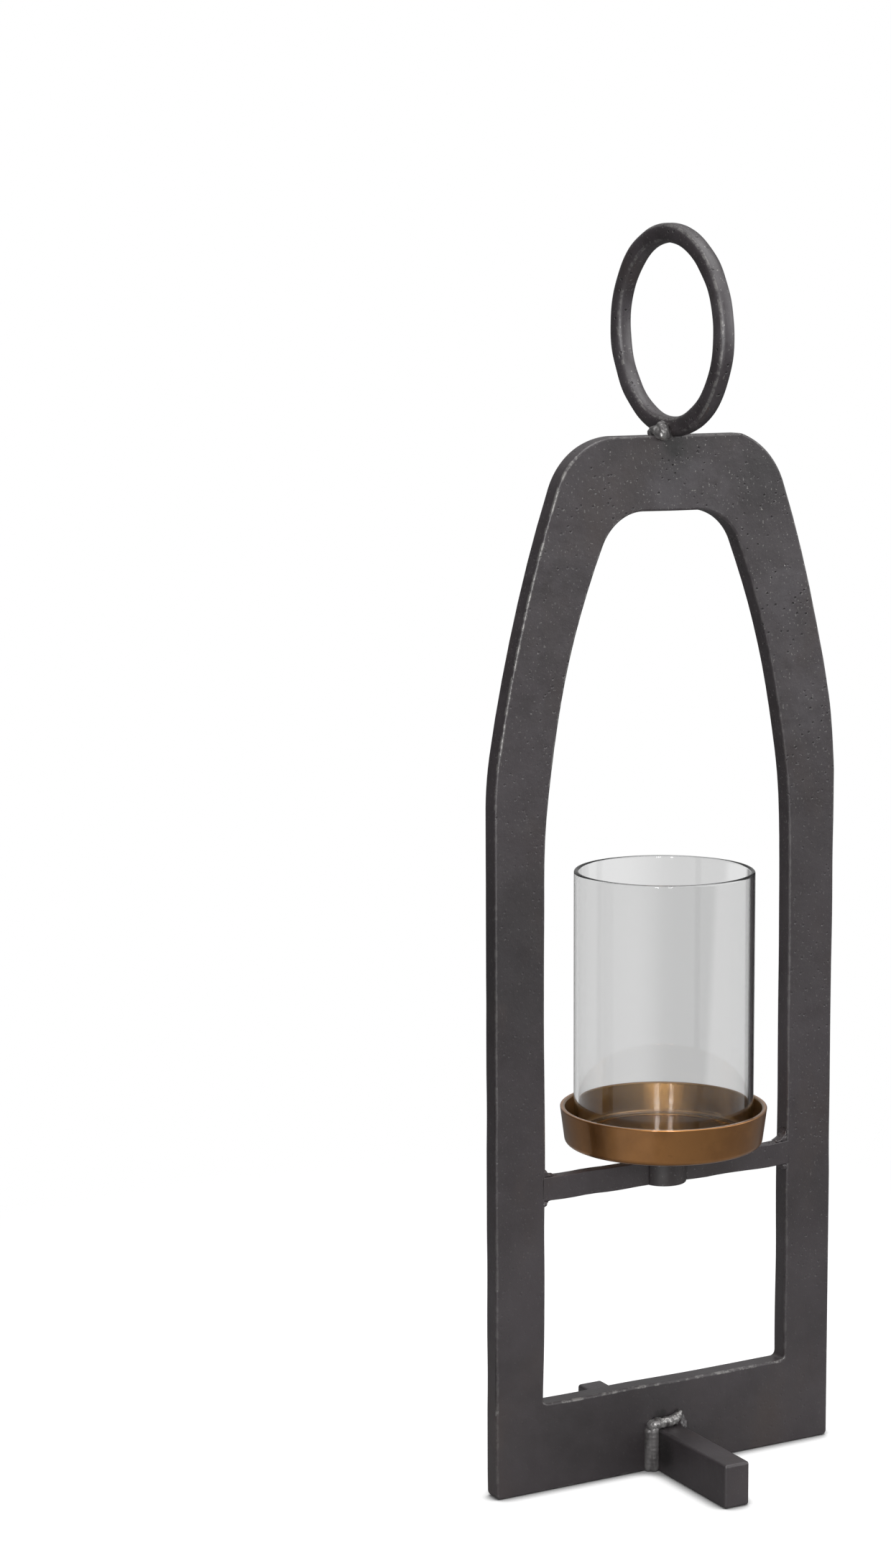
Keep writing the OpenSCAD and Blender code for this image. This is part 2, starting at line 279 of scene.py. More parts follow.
def cad_copy(node):
    """The CAD node's mesh with its doubles merged and its flats made whole."""
    bm = bmesh.new()
    bm.from_mesh(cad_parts[node].data)
    bmesh.ops.remove_doubles(bm, verts=bm.verts, dist=SAME_POINT)
    bmesh.ops.dissolve_limit(bm, angle_limit=math.radians(0.3), verts=bm.verts, edges=bm.edges)
    return bm


def hard_edges(bm):
    limit = math.radians(HARD_CORNER)
    return [e for e in bm.edges if len(e.link_faces) == 2 and e.calc_face_angle() > limit]


def round_edges(bm, edges, width, steps=ARRIS_STEPS):
    """Rounds the edges and returns the faces of the new strips."""
    return bmesh.ops.bevel(bm, geom=edges, offset=width, offset_type="OFFSET", segments=steps, profile=0.5,
                           affect="EDGES", clamp_overlap=True, material=-1)["faces"]


def ease_edges(bm, width):
    """Rounds every hard edge; the new strips get the second material."""
    for face in round_edges(bm, hard_edges(bm), width):
        face.material_index = 1


def ramp(value, low, high):
    """0 below low, 1 above high, smooth between them."""
    t = max(0, min(1, (value - low) / (high - low)))
    return t * t * (3 - 2 * t)


def edge_way(v):
    """The way the plate's edge faces at this point, in the plate's own plane."""
    way = Vector((0, 0, 0))
    for face in v.link_faces:
        if abs(face.normal.y) < 0.5:
            way += face.normal
    way.y = 0
    return way.normalized()


def forge_outline(bm):
    """Leaves the plate a little off true, alike on its front and back, inside its own width and height."""
    for _ in range(PLATE_SPLITS):
        long = [e for e in bm.edges if e.calc_length() > PLATE_STEP]
        if not long:
            break
        bmesh.ops.subdivide_edges(bm, edges=long, cuts=1)
    bm.normal_update()
    ways = {v: edge_way(v) for v in bm.verts}
    for v, way in ways.items():
        on_window = way.dot(v.co - WINDOW_MIDDLE) < 0
        if v.co.y > 0:
            v.co.y += PLATE_BACK_GAIN
        if on_window and v.co.x < 0:
            v.co.x += way.x * LEFT_LEG_GAIN * ramp(v.co.z, RAIL_TOP, 2 * RAIL_TOP)
        if v.co.x > 0 and not on_window:
            v.co += way * RIGHT_BULGE * ramp(v.co.z, BULGE_STARTS, BULGE_FULL)
        spot = Vector((v.co.x, 0, v.co.z)) / PLATE_WAVE_GRAIN
        free = min(1, v.co.z / RAIL_TOP)
        v.co.x += PLATE_WAVE * noise.noise(spot + PLATE_WAVE_ACROSS)
        v.co.z += PLATE_WAVE * free * noise.noise(spot + PLATE_WAVE_UP)
        v.co.x = max(-HALF_WIDTH, min(HALF_WIDTH, v.co.x))
        v.co.z = min(PLATE_TOP, v.co.z)


def arc(centre, radius, start, end, steps):
    """Points of an arc in the (radius, height) plane, degrees from +radius."""
    turn = [math.radians(start + (end - start) * i / steps) for i in range(steps + 1)]
    return [(centre[0] + radius * math.cos(a), centre[1] + radius * math.sin(a)) for a in turn]


def turned(outline, axis, steps):
    """A closed outline of points, turned once round an axis through the origin."""
    bm = bmesh.new()
    loop = [bm.verts.new(point) for point in outline]
    edges = [bm.edges.new((a, b)) for a, b in zip(loop, loop[1:] + loop[:1])]
    bmesh.ops.spin(bm, geom=loop + edges, cent=(0, 0, 0), axis=axis, angle=math.tau,
                   steps=steps, use_merge=True)
    bmesh.ops.remove_doubles(bm, verts=bm.verts, dist=SAME_POINT)
    bmesh.ops.recalc_face_normals(bm, faces=bm.faces)
    return bm


def turned_upright(profile):
    """A profile of (radius, height) points, turned round the Z axis."""
    return turned([(radius, 0, height) for radius, height in profile], (0, 0, 1), TURNED_STEPS)


def roughen(bm, amount, grain, seed):
    """Moves each point along its normal by a smooth noise; seed picks the part of the noise."""
    bm.normal_update()
    shift = Vector((seed * 7.3, seed * 3.1, seed * 5.7))
    for v in bm.verts:
        v.co += v.normal * amount * noise.noise(v.co / grain + shift)


# ---------------------------------------------------------------- material tools


def shader(name):
    material = bpy.data.materials.new(name)
    material.use_nodes = True
    tree = material.node_tree
    return material, tree, tree.nodes["Principled BSDF"]


def add(tree, kind, sockets=None, **settings):
    """A node with its settings and its inputs, each a value or another socket."""
    node = tree.nodes.new(kind)
    for key, value in settings.items():
        setattr(node, key, value)
    for key, value in (sockets or {}).items():
        if isinstance(value, bpy.types.NodeSocket):
            tree.links.new(value, node.inputs[key])
        else:
            node.inputs[key].default_value = value
    return node


def reckon(tree, kind, a, b):
    """Two numbers put together by a Math node of this kind."""
    return add(tree, "ShaderNodeMath", {0: a, 1: b}, operation=kind).outputs[0]


def times(tree, a, b):
    return reckon(tree, "MULTIPLY", a, b)


def larger(tree, a, b):
    return reckon(tree, "MAXIMUM", a, b)


def opposite(tree, value):
    """1 where value is 0, and 0 where it is 1."""
    return reckon(tree, "SUBTRACT", 1.0, value)


def along_way(tree, direction, way):
    """How far a direction agrees with a way: 1 along it, 0 across it."""
    return add(tree, "ShaderNodeVectorMath", {0: direction, 1: way}, operation="DOT_PRODUCT").outputs["Value"]


def place(tree):
    return add(tree, "ShaderNodeTexCoord").outputs["Object"]


def cloud(tree, where, scale, detail=4, roughness=0.55, stretch=None):
    """Smooth noise on the object's own coordinates."""
    if stretch:
        where = add(tree, "ShaderNodeMapping", {"Vector": where, "Scale": stretch}).outputs[0]
    return add(tree, "ShaderNodeTexNoise",
               {"Vector": where, "Scale": scale, "Detail": detail, "Roughness": roughness}).outputs["Fac"]


def band(tree, value, low, high):
    """0 below low, 1 above high, smooth between them."""
    return add(tree, "ShaderNodeMapRange",
               {"Value": value, "From Min": low, "From Max": high},
               interpolation_type="SMOOTHSTEP").outputs["Result"]


def mix(tree, factor, a, b):
    """Colour a where factor is 0, colour b where it is 1."""
    a, b = ((*c, 1) if isinstance(c, tuple) else c for c in (a, b))
    return add(tree, "ShaderNodeMix", {0: factor, 6: a, 7: b}, data_type="RGBA").outputs[2]


def blend(tree, factor, a, b):
    """Number a where factor is 0, number b where it is 1."""
    return add(tree, "ShaderNodeMix", {0: factor, 2: a, 3: b}, data_type="FLOAT").outputs[0]


def spread(tree, factor, low, high):
    """A number that runs from low to high as factor runs from 0 to 1."""
    return add(tree, "ShaderNodeMapRange", {"Value": factor, "To Min": low, "To Max": high}).outputs["Result"]


def bump(tree, height, strength, distance, under=None):
    sockets = {"Height": height, "Strength": strength, "Distance": distance}
    if under:
        sockets["Normal"] = under
    return add(tree, "ShaderNodeBump", sockets).outputs["Normal"]


def pits(tree, where, size):
    """Small round pits scattered over the surface: 1 inside a pit, 0 outside. Their size is a share of the cell."""
    spots = add(tree, "ShaderNodeTexVoronoi", {"Vector": where, "Scale": 1 / PIT_CELL}).outputs["Distance"]
    return opposite(tree, band(tree, spots, 0.4 * size, size))


def near_any(tree, where, spots):
    """1 close to any of the spots (x, y, z, radius in mm), 0 a radius away from all of them."""
    together = None
    for x, y, z, r in spots:
        away = add(tree, "ShaderNodeVectorMath", {0: where, 1: (x * MM, y * MM, z * MM)}, operation="DISTANCE")
        close = opposite(tree, band(tree, away.outputs["Value"], 0.35 * r * MM, r * MM))
        together = close if together is None else larger(tree, together, close)
    return together


# ---------------------------------------------------------------- materials


def iron_detail(tree, where):
    """How strongly flecks and pits show: fully on the arch's right, less to the left, lower down and on the rail.

    The second number is how clear of the rail a place is."""
    axes = add(tree, "ShaderNodeSeparateXYZ", {0: where})
    height = axes.outputs["Z"]
    upper = spread(tree, band(tree, height, ARCH_FROM, ARCH_FULL), QUIET, 1.0)
    above_rail = spread(tree, band(tree, height, RAIL_TOP, 3 * RAIL_TOP), QUIET, 1.0)
    rightward = spread(tree, band(tree, axes.outputs["X"], BARE_LEFT, BARE_RIGHT), QUIET_LEFT, 1.0)
    return times(tree, times(tree, upper, above_rail), rightward), above_rail


def iron_colour(tree, where, grain, pitted):
    """Dark and pale clouds, then one layer after another of wear and painted sheen, smoke and painted shade, brown,
    grain, pits, and scorch and painted shade.
    """
    height = add(tree, "ShaderNodeSeparateXYZ", {0: where}).outputs["Z"]
    broad = band(tree, cloud(tree, where, IRON_CLOUDS, 3), 0.35, 0.68)
    blotches = band(tree, cloud(tree, where, BLOTCHES, 4, 0.65), 0.38, 0.66)
    blotched = times(tree, blotches, spread(tree, band(tree, height, BLOTCHED_FROM, BLOTCHED_FULL), 0.3, 0.8))
    colour = mix(tree, blend(tree, blotched, times(tree, broad, 0.7), 1.0), IRON_DARK, IRON_LIGHT)
    # pale patches: partly handling wear, partly painted sheen on the plate's top, right shoulder and ring
    patches = band(tree, cloud(tree, where, WEAR_AND_SHEEN_PATCHES, 4, 0.65), 0.36, 0.62)
    wear_and_sheen = times(tree, near_any(tree, where, WEAR_AND_SHEEN), patches)
    # darker spots: weld smoke, and painted shade under the dish and under the ring's front
    smoke_and_shade = times(tree, near_any(tree, where, SMOKE_AND_SHADE), spread(tree, broad, 0.3, 0.5))
    brown = band(tree, cloud(tree, where, BROWN_CLOUDS, 4, stretch=(1, 1, 0.6)), 0.5, 0.75)
    grained = band(tree, grain, 0.62, 0.8)
    worn_lips = times(tree, pits(tree, where, PIT_LIP), pitted)
    holes = times(tree, pits(tree, where, PIT_SIZE), pitted)
    # blackish spots by the welds: partly torch scorch, partly painted shade in the creases
    burn_and_shade = spread(tree, cloud(tree, where, SCORCH_AND_SHADE_PATCHES, 3), 0.55, 1.3)
    scorch_and_shade = times(tree, near_any(tree, where, SCORCH_AND_SHADE), burn_and_shade)
    layers = ((times(tree, wear_and_sheen, 0.6), IRON_WEAR_AND_SHEEN), (smoke_and_shade, IRON_SOOT_AND_SHADE), (times(tree, brown, 0.8), IRON_BROWN),
              (times(tree, grained, 0.35), IRON_LIGHT), (times(tree, worn_lips, 0.8), IRON_LIGHT),
              (holes, IRON_SOOT_AND_SHADE), (scorch_and_shade, IRON_SOOT_AND_SHADE))
    for amount, paint in layers:
        colour = mix(tree, amount, colour, paint)
    return colour, holes


def on_shoulder_or_rail(tree, where):
    """1 on the plate's left shoulder and along the rail's top edge, 0 elsewhere."""
    axes = add(tree, "ShaderNodeSeparateXYZ", {0: where})
    height = axes.outputs["Z"]
    left = band(tree, times(tree, axes.outputs["X"], -1.0), SHOULDER_NEAR, SHOULDER_FAR)
    shoulder = times(tree, left, band(tree, height, SHOULDER_FROM, SHOULDER_FULL))
    over_rail = add(tree, "ShaderNodeMath", {0: height, 1: RAIL_TOP, 2: RAIL_EDGE}, operation="COMPARE").outputs[0]
    return larger(tree, shoulder, over_rail)


def blackened_iron(name, rubbed=None):
    """Waxed black iron: broad brown clouds, fine grain, pits, and bright flecks.

    rubbed adds worn metal: on the left shoulder and the rail's top edge, or everywhere."""
    material, tree, out = shader(name)
    where = place(tree)
    detail, above_rail = iron_detail(tree, where)
    grain = cloud(tree, where, IRON_GRAIN, 5, 0.7)
    pitted = times(tree, band(tree, cloud(tree, where, PITTED_AREAS, 2), 0.38, 0.5), detail)
    colour, holes = iron_colour(tree, where, grain, pitted)
    shine = times(tree, band(tree, cloud(tree, where, IRON_FLECKS, 2, 0.4), 0.655, 0.735), detail)
    if rubbed:
        patches = band(tree, cloud(tree, where, RUBBED_PATCHES, 5, 0.75), 0.46, 0.6)
        zone = spread(tree, on_shoulder_or_rail(tree, where), 0.15, 0.8) if rubbed == "in places" else 0.6
        shine = larger(tree, times(tree, patches, zone), shine)
    tree.links.new(mix(tree, shine, colour, RUBBED_METAL), out.inputs["Base Color"])
    tree.links.new(spread(tree, shine, 0.0, 0.85), out.inputs["Metallic"])
    tree.links.new(spread(tree, cloud(tree, where, DULL_PATCHES, 4), 0.28, 0.56), out.inputs["Roughness"])
    out.inputs["Specular IOR Level"].default_value = 1.0
    fine = bump(tree, times(tree, grain, above_rail), 0.5, GRAIN_DEPTH)
    dents = bump(tree, cloud(tree, where, IRON_DENTS, 3), 0.5, DENT_DEPTH, fine)
    waves = bump(tree, cloud(tree, where, IRON_WAVES, 2), 0.4, WAVE_DEPTH, dents)
    tree.links.new(bump(tree, opposite(tree, holes), 1.0, PIT_DEPTH, waves), out.inputs["Normal"])
    return material


def weld_metal(name, silver):
    """Weld bead: soft grey ripples; silver is how much bright metal shows through the scale."""
    material, tree, out = shader(name)
    where = place(tree)
    bare = times(tree, band(tree, cloud(tree, where, WELD_BARE, 4, 0.6, stretch=(1, 1, 0.5)), 0.46, 0.66), silver)
    ripple = cloud(tree, where, WELD_RIPPLES, 3, stretch=(1, 1, 0.6))
    scale = band(tree, cloud(tree, where, WELD_SCALE, 3, stretch=(1, 1, 0.3)), 0.3, 0.6)
    skin = mix(tree, scale, WELD_DARK, WELD_GREY)
    tree.links.new(mix(tree, bare, skin, WELD_SILVER), out.inputs["Base Color"])
    tree.links.new(spread(tree, bare, 0.35, 0.95), out.inputs["Metallic"])
    tree.links.new(spread(tree, ripple, 0.26, 0.46), out.inputs["Roughness"])
    tree.links.new(bump(tree, ripple, 0.25, 0.2 * MM), out.inputs["Normal"])
    return material


def lacquered_bronze(name, light, dark):
    """Satin bronze under clear lacquer: fine lathe rings, darker clouds, a sharp thin shine on top."""
    material, tree, out = shader(name)
    where = place(tree)
    clouds = band(tree, cloud(tree, where, BRONZE_CLOUDS, 5, 0.6), 0.4, 0.72)
    spots = band(tree, cloud(tree, where, BRONZE_SPOTS, 4, 0.6), 0.6, 0.78)
    colour = mix(tree, times(tree, clouds, 0.35), light, dark)
    colour = mix(tree, times(tree, spots, 0.25), colour, dark)
    tree.links.new(colour, out.inputs["Base Color"])
    out.inputs["Metallic"].default_value = 1.0
    tree.links.new(spread(tree, cloud(tree, where, BRONZE_SHEEN, 4), 0.28, 0.37), out.inputs["Roughness"])
    out.inputs["Coat Weight"].default_value = 0.8
    out.inputs["Coat Roughness"].default_value = 0.07
    rings = cloud(tree, where, LATHE_RINGS, 3, stretch=(1, 1, 30))
    tree.links.new(bump(tree, rings, 0.12, 0.12 * MM), out.inputs["Normal"])
    return material


def screw_metal():
    """Dulled steel with fine scratches, some of them stained brown."""
    material, tree, out = shader("screw_metal")
    where = place(tree)
    scratch = cloud(tree, where, SCREW_SCRATCHES, 4)
    tree.links.new(mix(tree, band(tree, scratch, 0.45, 0.7), SCREW_STEEL, BRONZE_DARK), out.inputs["Base Color"])
    out.inputs["Metallic"].default_value = 0.9
    tree.links.new(spread(tree, scratch, 0.3, 0.5), out.inputs["Roughness"])
    tree.links.new(bump(tree, scratch, 0.15, 0.1 * MM), out.inputs["Normal"])
    return material


def clear_glass(name, tint):
    """Faintly grey glass with slow waves in its wall; it lets lamp light through."""
    material, tree, out = shader(name)
    where = place(tree)
    out.inputs["Base Color"].default_value = (*tint, 1)
    out.inputs["Transmission Weight"].default_value = 1.0
    out.inputs["IOR"].default_value = 1.47
    out.inputs["Roughness"].default_value = 0.0
    waves = cloud(tree, where, GLASS_WAVES, 2, stretch=(1, 1, 0.12))
    tree.links.new(bump(tree, waves, 0.12, 1.0 * MM), out.inputs["Normal"])
    path = add(tree, "ShaderNodeLightPath")
    clear = add(tree, "ShaderNodeBsdfTransparent", {"Color": (*tint, 1)})
    both = add(tree, "ShaderNodeMixShader",
               {0: path.outputs["Is Shadow Ray"], 1: out.outputs[0], 2: clear.outputs[0]})
    tree.links.new(both.outputs[0], tree.nodes["Material Output"].inputs["Surface"])
    return material


IRON = blackened_iron("blackened_iron")
ARRIS = blackened_iron("rubbed_arris", "in places")
RIDGE = blackened_iron("rubbed_ridge", "everywhere")
WELD_SMOOTH = weld_metal("weld_smooth", 0.12)
WELD_ROUGH = weld_metal("weld_rough", 0.9)
BRONZE_SATIN = lacquered_bronze("lacquered_bronze", BRONZE, BRONZE_DARK)
# darker copies of the bronze for the dish's inside and its seat: painted shade
BRONZE_INSIDE_SHADE = lacquered_bronze("bronze_inside_painted_shade", BRONZE_PALE, BRONZE_OLIVE)
BRONZE_SEAT_SHADE = lacquered_bronze("bronze_seat_painted_shade", BRONZE_OLIVE, BRONZE_SHADE)
SCREW = screw_metal()
GLASS = clear_glass("clear_glass", GLASS_TINT)
# the rim's dark glass is painted shade
GLASS_RIM_SHADE = clear_glass("glass_rim_painted_shade", RIM_SHADE_TINT)

# ---------------------------------------------------------------- iron pieces


def foot(name, node, short):
    """A foot with soft edges that starts inside the plate, its far end ground back by short."""
    bm = bmesh.new()
    length = FOOT_END - short
    way = 1 if node == "foot_rear" else -1
    size = Matrix.Diagonal((2 * FOOT_HALF, length, FOOT_HIGH, 1))
    bmesh.ops.create_cube(bm, size=1, matrix=Matrix.Translation((0, way * length / 2, FOOT_HIGH / 2)) @ size)
    round_edges(bm, list(bm.edges), FOOT_ARRIS, steps=4)
    return add_piece(name, bm, "lantern", [node], "iron", IRON)


def window_plate():
    """The plate with its window, its outline left a little uneven by the hammer."""
    bm = cad_copy("arch_frame")
    forge_outline(bm)
    ease_edges(bm, PLATE_ARRIS)
    return add_piece("window_plate", bm, "lantern", ["arch_frame"], "iron", IRON, ARRIS)


def crossbar(side, x_end):
    """Half of the crossbar; its outer end runs on over the leg's eased edge, as if filed flush."""
    bm = cad_copy(f"crossbar_{side}")
    out = PLATE_ARRIS if x_end > 0 else LEFT_LEG_GAIN - PLATE_ARRIS
    for v in bm.verts:
        if abs(v.co.x - x_end) < SAME_PLANE:
            v.co.x += out
    along = [e for e in bm.edges if e.calc_length() > PLATE_STEP
             and abs(e.verts[0].co.x - e.verts[1].co.x) > PLATE_STEP]
    bmesh.ops.subdivide_edges(bm, edges=along, cuts=BAR_CUTS)
    for v in bm.verts:
        spot = Vector((v.co.x / BAR_WAVE_GRAIN, 0, v.co.z / BAR_WAVE_HIGH))
        v.co.z += BAR_WAVE * noise.noise(spot)
    end = x_end + out
    free = [e for e in hard_edges(bm) if not all(abs(v.co.x - end) < SAME_PLANE for v in e.verts)]
    round_edges(bm, free, BAR_ARRIS)
    return add_piece(f"{side}_bar", bm, "lantern", [f"crossbar_{side}"], "iron", IRON, ARRIS)


def round_boss():
    bm = cad_copy("tray_boss")
    ease_edges(bm, BAR_ARRIS)
    return add_piece("round_boss", bm, "lantern", ["tray_boss"], "iron", IRON, ARRIS)


def iron_ring():
    """Bar with hammered flats bent to a ring across the plate, leaning a little."""
    section = []
    for i in range(RING_SIDES):
        turn = math.tau * i / RING_SIDES
        across = math.cos(turn)
        outward = math.sin(turn)
        reach = (abs(across) ** RING_POWER + abs(outward) ** RING_POWER) ** (-1 / RING_POWER)
        section.append((RING_DEEP * reach * across, 0, RING_MIDDLE + RING_BAR * reach * outward))
    bm = turned(section, (1, 0, 0), RING_STEPS)
    roughen(bm, RING_DENT, RING_DENT_GRAIN, seed=1)
    for v in bm.verts:
        v.co.y += RING_LEAN * v.co.z
        v.co += RING_CENTRE
        v.co.z = min(RING_TOP, v.co.z)
    bm.normal_update()
    for face in bm.faces:
        face.material_index = 1 if RIDGE_FROM < abs(face.normal.x) < RIDGE_TO else 0
    return add_piece("forged_ring", bm, "lantern", ["hanging_ring"], "iron", IRON, RIDGE)


# ---------------------------------------------------------------- weld beads


def weld_bead(name, node, lumps, metal, rough, on_cad=False):
    """Runs lumps (x, y, z, radius in mm), and the CAD bead where on_cad says so, together into one bead.

    rough is how uneven its skin is."""
    bm = bmesh.new()
    if on_cad:
        bm.from_mesh(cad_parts[node].data)
        bmesh.ops.remove_doubles(bm, verts=bm.verts, dist=SAME_POINT)
    for x, y, z, r in lumps:
        middle = Matrix.Translation((x * MM, y * MM, z * MM))
        bmesh.ops.create_icosphere(bm, subdivisions=3, radius=r * MM, matrix=middle)
    piece = add_piece(name, bm, "lantern", [node], "weld", metal)
    remesh = piece.modifiers.new("run_together", "REMESH")
    remesh.mode = "VOXEL"
    remesh.voxel_size = WELD_VOXEL
    bpy.context.view_layer.update()
    done = bpy.data.meshes.new_from_object(piece.evaluated_get(bpy.context.evaluated_depsgraph_get()))
    piece.modifiers.clear()
    piece.data = done
    melted = bmesh.new()
    melted.from_mesh(done)
    for _ in range(WELD_MELTS):
        bmesh.ops.smooth_vert(melted, verts=melted.verts, factor=0.5,
                              use_axis_x=True, use_axis_y=True, use_axis_z=True)
    roughen(melted, rough, WELD_GRAIN, seed=len(lumps))
    for v in melted.verts:
        v.co.z = max(0, v.co.z)
    melted.to_mesh(done)
    melted.free()
    done.materials.clear()
    done.materials.append(metal)
    smooth(done, 60)
    return piece


def upright_run(x, y, low, high, radius, count):
    """Lumps one above another, as a bead laid upwards."""
    step = (high - low) / (count - 1)
    return [(x, y, low + i * step, radius * (1 + WELD_LUMP_SWELL * math.sin(WELD_LUMP_BEAT * i)))
            for i in range(count)]


def foot_welds():
    """Upright beads down a foot's sides, and a lumpy silver run over its top."""
    for name, out in (("front", -1), ("rear", 1)):
        left = upright_run(*FOOT_LEFT_RUNS[0]) + upright_run(*FOOT_LEFT_RUNS[1])
        right = upright_run(*FOOT_RIGHT_RUN) + list(FOOT_RIGHT_END)
        for part, lumps, metal, rough in (("left", left, WELD_SMOOTH, 0.06 * MM), ("right", right, IRON, 0.1 * MM),
                                          ("top", FOOT_TOP_BEAD, WELD_ROUGH, 0.45 * MM)):
            placed = [(x, out * (PLATE_FACE + y), z, r) for x, y, z, r in lumps]
            weld_bead(f"{name}_foot_bead_{part}", f"foot_weld_{name}", placed, metal, rough)


def crossbar_welds():
    """Small beads that round off the corners over and under both ends of the crossbar."""
    for side, leg, inward in (("left", -80, 1), ("right", 80, -1)):
        for part, lumps in (("top", BAR_TOP_BEAD), ("under", BAR_UNDER_BEAD)):
            placed = [(leg + inward * x, y, z, r) for x, y, z, r in lumps]
            weld_bead(f"{side}_bar_bead_{part}", f"bar_weld_{side}_{part}", placed, IRON, 0.4 * MM, on_cad=True)


def ring_welds():
    """A craggy bead on the ring's left and a smaller one on its right, from the front of the plate to its back."""
    weld_bead("left_ring_bead", "ring_weld_left", RING_LEFT_BEAD, WELD_ROUGH, 0.6 * MM)
    weld_bead("right_ring_bead", "ring_weld_right", RING_RIGHT_BEAD, WELD_SMOOTH, 0.5 * MM)


# ---------------------------------------------------------------- dish and glass


def bronze_dish():
    """A flared dish with a ledge for the glass and a sunk seat; its inside and its seat have darker copies of the
    bronze: painted shade.
    """
    inner_foot = DISH_FOOT_R - DISH_WALL
    inner_rim = DISH_RIM_R - DISH_WALL
    lean = -DISH_FLARE
    profile = [(AXIS_GAP, DISH_LOW)]
    profile += arc((DISH_FOOT_R - DISH_CORNER, DISH_LOW + DISH_CORNER), DISH_CORNER, -90, lean, 8)
    profile += arc((DISH_RIM_R - DISH_EDGE, DISH_RIM - DISH_EDGE), DISH_EDGE, lean, 90, 6)
    profile += arc((inner_rim + DISH_INNER_EDGE, DISH_RIM - DISH_INNER_EDGE), DISH_INNER_EDGE, 90, 180 - lean, 8)
    profile += arc((inner_foot - DISH_FILLET, DISH_LEDGE + DISH_FILLET), DISH_FILLET, lean, -90, 8)
    profile += arc((SEAT_R + SEAT_LIP, DISH_LEDGE - SEAT_LIP), SEAT_LIP, 90, 180, 4)
    profile += [(SEAT_R, DISH_SEAT), (AXIS_GAP, DISH_SEAT)]
    bm = turned_upright(profile)
    # the inside and the seat get the darker copies of the bronze: painted shade
    for face in bm.faces:
        middle = face.calc_center_median()
        from_axis = Vector((middle.x, middle.y)).length
        if middle.z < DISH_SEAT - SEAT_LIP or from_axis > DISH_RIM_R - DISH_WALL / 2:
            face.material_index = 0
        elif from_axis < SEAT_R:
            face.material_index = 2
        else:
            face.material_index = 1
    return add_piece("turned_dish", bm, "lantern", ["candle_tray"], "bronze",
                     BRONZE_SATIN, BRONZE_INSIDE_SHADE, BRONZE_SEAT_SHADE)


def hurricane_glass():
    """An open glass cylinder with a rounded rim, its lower edges just broken."""
    lip = GLASS_WALL / 2
    inner = GLASS_R - GLASS_WALL
    low = GLASS_FOOT_EDGE
    profile = arc((GLASS_R - low, GLASS_LOW + low), low, -90, 0, 3)
    profile += arc((GLASS_R - lip, GLASS_HIGH - lip), lip, 0, 180, 10)
    profile += arc((inner + low, GLASS_LOW + low), low, 180, 270, 3)
    bm = turned_upright(profile)
    for face in bm.faces:
        # the top of the lip gets the dark glass: painted shade
        face.material_index = 1 if face.calc_center_median().z > GLASS_HIGH - DARK_RIM_DEPTH else 0
    return add_piece("hurricane_glass", bm, "glass", ["glass_cylinder"], "glass", GLASS, GLASS_RIM_SHADE)


# ---------------------------------------------------------------- room, lamps, camera


def through_glass(tree, x, y):
    """What a ray finds past the glass: a pale backdrop, and a dark curtain past its right edge.

    Rays that only ran along inside the glass's wall have been bent twice; the others four times."""
    level_way = add(tree, "ShaderNodeCombineXYZ", {0: x, 1: y}).outputs[0]
    along = add(tree, "ShaderNodeVectorMath", {0: level_way}, operation="NORMALIZE").outputs[0]
    curtain = band(tree, along_way(tree, along, DARK_WAY), DARK_EDGE - DARK_SOFT, DARK_EDGE + DARK_SOFT)
    lit = blend(tree, curtain, 1.0, 0.0)
    across = along_way(tree, along, BACKDROP_FADES)
    level = blend(tree, band(tree, across, -0.03, 0.02), BACKDROP_EDGE, BACKDROP_DULL)
    level = blend(tree, band(tree, across, 0.058, 0.074), level, BACKDROP_EDGE)
    bends = add(tree, "ShaderNodeLightPath").outputs["Transmission Depth"]
    return times(tree, blend(tree, band(tree, bends, 2.1, 2.9), lit, 1.0), level)


def seen_as(tree, to_eye, past_glass, otherwise):
    """One strength for the camera, one for rays that have passed the glass, one for light itself."""
    path = add(tree, "ShaderNodeLightPath")
    glassy = blend(tree, path.outputs["Is Transmission Ray"], otherwise, past_glass)
    return blend(tree, path.outputs["Is Camera Ray"], glassy, to_eye)


def floor_sheet():
    bm = bmesh.new()
    bmesh.ops.create_grid(bm, x_segments=1, y_segments=1, size=FLOOR_HALF)
    mesh = bpy.data.meshes.new("floor")
    bm.to_mesh(mesh)
    bm.free()
    floor = bpy.data.objects.new("floor", mesh)
    bpy.context.scene.collection.objects.link(floor)
    return floor


